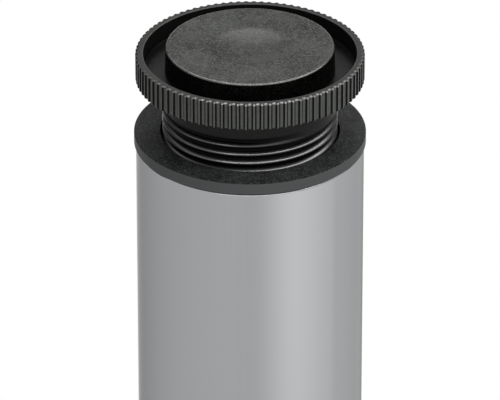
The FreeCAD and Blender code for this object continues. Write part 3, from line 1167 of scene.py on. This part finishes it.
@dataclass
class FloorGlide(Piece):
    """Round pad with a shallow dish, hollow below, on a split clip stem.

    Attributes:
        stand: Height of the pad's rim below its face, down to the web.
        draft: How much wider the pad is at its base.
        edge: Rounding of the face.
        base_round: Rounding of the skirt's foot.
        wall: Thickness of the skirt and roof.
        roof_round: Rounding between the skirt and the roof.
        dish: Radius of the dish.
        dish_depth: Depth of the dish.
        dish_rows: Rows across the dish.
        dish_gap: Distance of the nearest flat row from the dish.
        rim_gap: Distance of the farthest flat row from the face's edge.
        columns: Columns around the pad.
        painted_side_shading: Painted shade on the skirt.
        face_part: Part of the edge's rounding, from the face down, that has the face's tone.
        margin: Distance past the dish over which a point counts as in it.
        face_gloss: Gloss of the face.
        brow_gloss: Gloss of the face's edge, which gives it a painted highlight.
        stem: Outer radius of the stem.
        stem_bore: Inner radius of the stem.
        stem_hold: Height of the stem inside the roof.
        lip: Radius of the catch.
        lip_height: Height of the catch.
        lip_rows: Heights between which the catch has its full radius.
        tip: How much slimmer the stem is at its end.
        slot_width: Width of the slots.
        leg_columns: Columns of one of the stem's legs.
    """

    stand: float = 6.5
    draft: float = 0.3
    edge: float = 0.4
    base_round: float = 0.15
    wall: float = 2.0
    roof_round: float = 0.3
    dish: float = 10.0
    dish_depth: float = 0.7
    dish_rows: int = 20
    dish_gap: float = 1.2
    rim_gap: float = 4.0
    columns: int = 192
    painted_side_shading: float = 0.1
    face_part: float = 0.6
    margin: float = 0.1
    face_gloss: float = 0.01
    brow_gloss: float = 0.9
    stem: float = 6.7
    stem_bore: float = 4.7
    stem_hold: float = 0.6
    lip: float = 7.8
    lip_height: float = 2.0
    lip_rows: Span = (0.9, 1.6)
    tip: float = 0.4
    slot_width: float = 1.8
    leg_columns: int = 15

    def surface(self) -> Surface:
        """Turns the pad about Z with a spherical dish, then adds the stem's four legs.

        Returns:
            The surface.
        """
        low, high = self.box()
        outer, top = float(high[0]), float(high[2])
        base = top - self.stand
        face = outer - self.draft
        skirt = outer - self.wall
        roof = top - self.wall
        ball = (self.dish**2 + self.dish_depth**2) / (2.0 * self.dish_depth)
        across = np.linspace(self.dish, 0.0, self.dish_rows)
        bowl = top + ball - self.dish_depth - np.sqrt(ball**2 - across**2)
        outline = [
            (0.0, roof, 0.0),
            (skirt, roof, self.roof_round),
            (skirt, base, 0.0),
            (outer, base, self.base_round),
            (face, top, self.edge),
            (face - self.rim_gap, top, 0.0),
            (self.dish + self.dish_gap, top, 0.0),
            *zip(across, bowl, np.zeros_like(across)),
        ]
        profile = rounded(outline)
        radius, height = profile[:, :1], profile[:, 1:]
        level = (height > top - self.face_part * self.edge) | (radius < self.dish + self.margin)
        brow = (height > top - self.edge - NEAR) & (height < top - FLAT) & (radius > face - self.edge)
        # Painted shade darkens the skirt below the face; the gloss places a painted highlight on the face's
        # edge.
        painted_shading = np.where(level, 1.0, self.painted_side_shading)
        gloss = np.where(brow, self.brow_gloss, self.face_gloss)
        made = Surface(self.name)
        made.grid(turned(profile, full_turn(self.columns)), loop_columns=True, painted_shading=painted_shading, gloss=gloss)
        self.add_stem(made, float(low[2]), roof + self.stem_hold)
        return made

    def add_stem(self, made: Surface, low: float, high: float) -> None:
        """Adds four legs: sectors of a sleeve with a catch, kept apart by slots with parallel sides.

        Args:
            made: Surface to add to.
            low: Height of the stem's end.
            high: Height inside the roof.
        """
        first, last = self.lip_rows
        heights = np.array([low, low + first, low + last, low + self.lip_height, high])
        outside = np.array([self.stem - self.tip, self.lip, self.lip, self.stem, self.stem])
        inside = np.full_like(outside, self.stem_bore)
        count = len(heights)
        radius = np.concatenate([outside, inside])[:, None]
        height = np.concatenate([heights, heights[::-1]])[:, None]
        margin = np.arcsin(0.5 * self.slot_width / radius)
        share = np.linspace(0.0, 1.0, self.leg_columns)
        for quarter in full_turn(4):
            leg = polar(radius, quarter + margin + share * (QUARTER - 2.0 * margin), height)
            made.grid(leg, loop_rows=True)
            for column, flip in ((0, True), (-1, False)):
                ring = leg[:, column]
                made.grid(np.stack([ring[:count], ring[count:][::-1]], axis=1), flip=flip)


@dataclass(frozen=True)
class Panel:
    """A lamp with a flat rectangular face.

    Attributes:
        name: Name of the lamp.
        azimuth_deg: Direction from the leg's axis, 0 towards the camera and 90 to the right.
        distance: Distance from the axis in metres.
        height: Height of its middle in metres.
        width: Width in metres.
        tall: Height of its face in metres.
        radiance: Brightness of its face.
        aim: Height on the axis that it faces, in metres.
        watts: Power for each square metre of a face whose radiance is 1.
    """

    name: str
    azimuth_deg: float
    distance: float
    height: float
    width: float
    tall: float
    radiance: float
    aim: float = 0.7
    watts: float = 4.0

    def make(self) -> None:
        """Adds the lamp."""
        lamp = bpy.data.lights.new(self.name, "AREA")
        lamp.shape = "RECTANGLE"
        lamp.size = self.width
        lamp.size_y = self.tall
        lamp.energy = self.watts * self.radiance * self.width * self.tall
        made = bpy.data.objects.new(self.name, lamp)
        angle = math.radians(self.azimuth_deg)
        place = Vector((self.distance * math.sin(angle), -self.distance * math.cos(angle), self.height))
        made.location = place
        made.rotation_euler = (Vector((0.0, 0.0, self.aim)) - place).to_track_quat("-Z", "Y").to_euler()
        made.visible_camera = False
        bpy.context.scene.collection.objects.link(made)
        LOG.info("lamp %s", self.name)


@dataclass(frozen=True)
class Reflector:
    """A card bent around the leg, bright or dark, that the leg mirrors.

    Attributes:
        name: Name of the card.
        azimuths_deg: Its first end, its peak, the end of its main part and its far end, where 0 is
            towards the camera and 90 to the right.
        levels: Brightness at the first end, at the peak, where the main part ends and beyond it.
        radius: Distance from the axis in metres.
        base: Height of its lower edge in metres.
        top: Height of its upper edge in metres.
        step_deg: Angle over which the main part gives way to the rest.
        columns: Columns along the card.
        sharp_deg: Edges bent by more than this stay sharp.
    """

    name: str
    azimuths_deg: Four
    levels: Four
    radius: float = 0.95
    base: float = 0.02
    top: float = 0.5
    step_deg: float = 1.0
    columns: int = 65
    sharp_deg: float = 60.0

    def make(self) -> None:
        """Adds the card: x = R sin a, y = -R cos a, z free, with a glow that follows the azimuth a."""
        start, peak, end, far = np.radians(self.azimuths_deg).tolist()
        azimuth = np.linspace(start, far, self.columns)
        heights = np.array([[self.base], [self.top]])
        places = polar(self.radius, azimuth - QUARTER, heights) / MM
        card = Surface(self.name).grid(places, flip=True).to_object(self.sharp_deg)
        material = bpy.data.materials.new(self.name)
        graph = Graph(material)
        x, y = (graph.node("ShaderNodeSeparateXYZ", {}, {0: graph.place()}, axis) for axis in "XY")
        angle = graph.node("ShaderNodeMath", {"operation": "ARCTAN2"}, {0: x, 1: y * -1.0})
        low, high, last, tail = self.levels
        level = low + angle.between(start, peak) * (high - low) + angle.between(peak, end) * (last - high)
        level = level + angle.between(end, end + math.radians(self.step_deg)) * (tail - last)
        graph.surface(graph.node("ShaderNodeEmission", {}, {"Color": graph.tint(WHITE[:3], level)}))
        card.data.materials.append(material)
        card.visible_camera = False
        card.visible_shadow = False


@dataclass
class Studio:
    """Pale floor, soft light and the camera.

    Attributes:
        elevation_deg: Camera above the horizon.
        distance: Camera to its target in metres.
        target: Height of the target on the axis in metres.
        lens: Focal length in millimetres.
        sensor: Width of the camera's sensor in millimetres.
        clip_end: How far the camera sees, in metres.
        ambient: Level of the surroundings for diffuse light.
        floor_colour: Colour of the floor.
        floor_side: Half width of the floor in metres.
        floor_height: Height of the floor in metres, just under the leg.
        floor_glow: Share of plain white in the floor near the leg.
        glow_span: Distances from the leg over which the floor becomes all white, in metres.
    """

    elevation_deg: float = 28.5
    distance: float = 1.6
    target: float = 0.6795
    lens: float = 435.4
    sensor: float = 36.0
    clip_end: float = 100.0
    ambient: float = 0.2
    floor_colour: Four = (0.9, 0.9, 0.9, 1.0)
    floor_side: float = 15.0
    floor_height: float = -0.0004
    floor_glow: float = 0.75
    glow_span: Span = (0.35, 0.95)

    def make(self, cards: Sequence[Reflector], panels: Sequence[Panel]) -> None:
        """Adds the surroundings, the cards, the lamps and the camera.

        Args:
            cards: Cards that the leg mirrors.
            panels: Lamps of the studio.
        """
        self.make_world()
        self.make_floor()
        for fitting in (*cards, *panels):
            fitting.make()
        self.make_camera()
        bpy.context.scene.view_settings.view_transform = "Standard"

    def make_world(self) -> None:
        """Adds even surroundings that look white."""
        world = bpy.data.worlds.new("studio")
        bpy.context.scene.world = world
        graph = Graph(world)
        dim = graph.node("ShaderNodeBackground", {}, {"Strength": self.ambient, "Color": WHITE})
        white = graph.node("ShaderNodeBackground", {}, {"Strength": 1.0, "Color": WHITE})
        graph.surface(graph.blend(graph.seen(), dim, white), "ShaderNodeOutputWorld")

    def make_floor(self) -> None:
        """Adds a wide white floor that keeps the leg's shadow and is clear from below."""
        material = bpy.data.materials.new("floor_white")
        graph = Graph(material)
        matt = graph.node("ShaderNodeBsdfDiffuse", {}, {"Color": self.floor_colour})
        glow = graph.node("ShaderNodeEmission", {}, {"Strength": 1.0})
        away = graph.node("ShaderNodeVectorMath", {"operation": "LENGTH"}, {0: graph.place()}, "Value")
        white = self.floor_glow + (1.0 - self.floor_glow) * away.between(*self.glow_span)
        above = graph.blend(graph.seen() * white, matt, glow)
        below = graph.node("ShaderNodeBsdfTransparent")
        under = graph.node("ShaderNodeNewGeometry", output="Backfacing")
        graph.surface(graph.blend(under, above, below))
        mesh = bpy.data.meshes.new("floor")
        turns = ((-1.0, -1.0), (1.0, -1.0), (1.0, 1.0), (-1.0, 1.0))
        corners = [(self.floor_side * x, self.floor_side * y, self.floor_height) for x, y in turns]
        mesh.from_pydata(corners, [], [(0, 1, 2, 3)])
        mesh.materials.append(material)
        floor = bpy.data.objects.new("floor", mesh)
        bpy.context.scene.collection.objects.link(floor)

    def make_camera(self) -> None:
        """Adds the camera on the photo's axis with a long lens."""
        camera = bpy.data.cameras.new("camera")
        camera.sensor_width = self.sensor
        camera.lens = self.lens
        camera.clip_end = self.clip_end
        made = bpy.data.objects.new("camera", camera)
        tilt = math.radians(self.elevation_deg)
        back = Vector((0.0, -math.cos(tilt), math.sin(tilt)))
        made.location = Vector((0.0, 0.0, self.target)) + back * self.distance
        made.rotation_euler = (-back).to_track_quat("-Z", "Y").to_euler()
        bpy.context.scene.collection.objects.link(made)
        bpy.context.scene.camera = made


SATIN_TUBE = SatinMetal("satin_tube", colour=(0.325, 0.33, 0.336), roughness=0.17, streak=0.05)
BLACK_STEEL = SatinMetal("black_steel", colour=(0.1, 0.1, 0.105), roughness=0.35, streak=0.1)
CAST_SILVER = CastLacquer("cast_silver", colour=(0.34, 0.345, 0.352), roughness=0.4)
BLACK_INSERT = MouldedPlastic(
    "black_insert",
    colour=(0.0178, 0.0184, 0.0186),
    roughness=0.42,
    specular=0.02,
    polish=0.25,
    grain_mm=0.42,
    depth_mm=0.02,
    mottle=6.0,
    speck=6.0,
)
BLACK_FOOT = MouldedPlastic(
    "black_foot",
    colour=(0.084, 0.088, 0.082),
    roughness=0.3,
    specular=0.03,
    polish=0.3,
    grain_mm=0.4,
    depth_mm=0.005,
    mottle=0.8,
    speck=0.4,
)
GREY_GLIDE = MouldedPlastic(
    "grey_glide",
    colour=(0.0148, 0.0158, 0.0136),
    roughness=0.28,
    specular=0.055,
    polish=0.25,
    grain_mm=0.5,
    depth_mm=0.042,
    mottle=10.5,
    speck=9.0,
)

DARK = (0.08, 0.08, 0.08, 0.08)
CARDS = (
    Reflector("bright_card", azimuths_deg=(0.0, 46.0, 92.0, 150.0), levels=(1.06, 1.58, 1.3, 1.14)),
    Reflector("soft_card", azimuths_deg=(-165.0, -14.0, -1.5, 0.0), levels=(0.84, 1.07, 1.06, 1.06)),
    Reflector("rear_card", azimuths_deg=(151.0, 172.0, 193.5, 194.5), levels=(0.95, 0.42, 0.84, 0.84)),
    Reflector("dark_right", (106.0, 120.0, 150.0, 166.0), levels=DARK, radius=1.3, base=0.7, top=1.5),
    Reflector("dark_left", (194.0, 220.0, 240.0, 270.0), levels=DARK, radius=1.3, base=0.7, top=1.5),
)
PANELS = (
    Panel("front", azimuth_deg=8.0, distance=0.8, height=1.98, width=2.0, tall=0.22, radiance=12.0),
    Panel("low", azimuth_deg=8.0, distance=1.0, height=0.98, width=1.6, tall=0.1, radiance=2.6),
    Panel("right", azimuth_deg=92.0, distance=1.0, height=1.6, width=1.4, tall=0.4, radiance=4.0),
    Panel("back", azimuth_deg=180.0, distance=0.95, height=1.65, width=0.5, tall=0.35, radiance=11.0),
    Panel("overhead", azimuth_deg=0.0, distance=0.01, height=3.2, width=3.0, tall=3.0, radiance=0.2),
)


def dress_node(node: Node, material: bpy.types.Material) -> None:
    """Gives a CAD node that is shown as it is its finish.

    Args:
        node: The node.
        material: Its finish.
    """
    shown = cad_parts[node.value]
    shown.material_slots[0].material = material
    LOG.info("%s keeps its CAD mesh", node.value)


def main() -> None:
    """Builds the whole scene."""
    logging.basicConfig(level=logging.INFO, format="%(name)s: %(message)s")
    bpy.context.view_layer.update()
    LegTube("tube", Node.TUBE, Body.LEG, Slot.TUBE).make(SATIN_TUBE.material())
    TubeInsert("insert", Node.INSERT, Body.LEG, Slot.INSERT).make(BLACK_INSERT.material())
    foot = BLACK_FOOT.material()
    KnurledWheel("wheel", Node.FOOT, Body.FOOT, Slot.FOOT).make(foot)
    ThreadedShank("shank", Node.FOOT, Body.FOOT, Slot.FOOT).make(foot)
    FloorGlide("glide", Node.GLIDE, Body.GLIDE, Slot.GLIDE).make(GREY_GLIDE.material())
    dress_node(Node.PLATE, CAST_SILVER.material())
    dress_node(Node.SCREW, BLACK_STEEL.material())
    Studio().make(CARDS, PANELS)


if __name__ == "__main__":
    main()
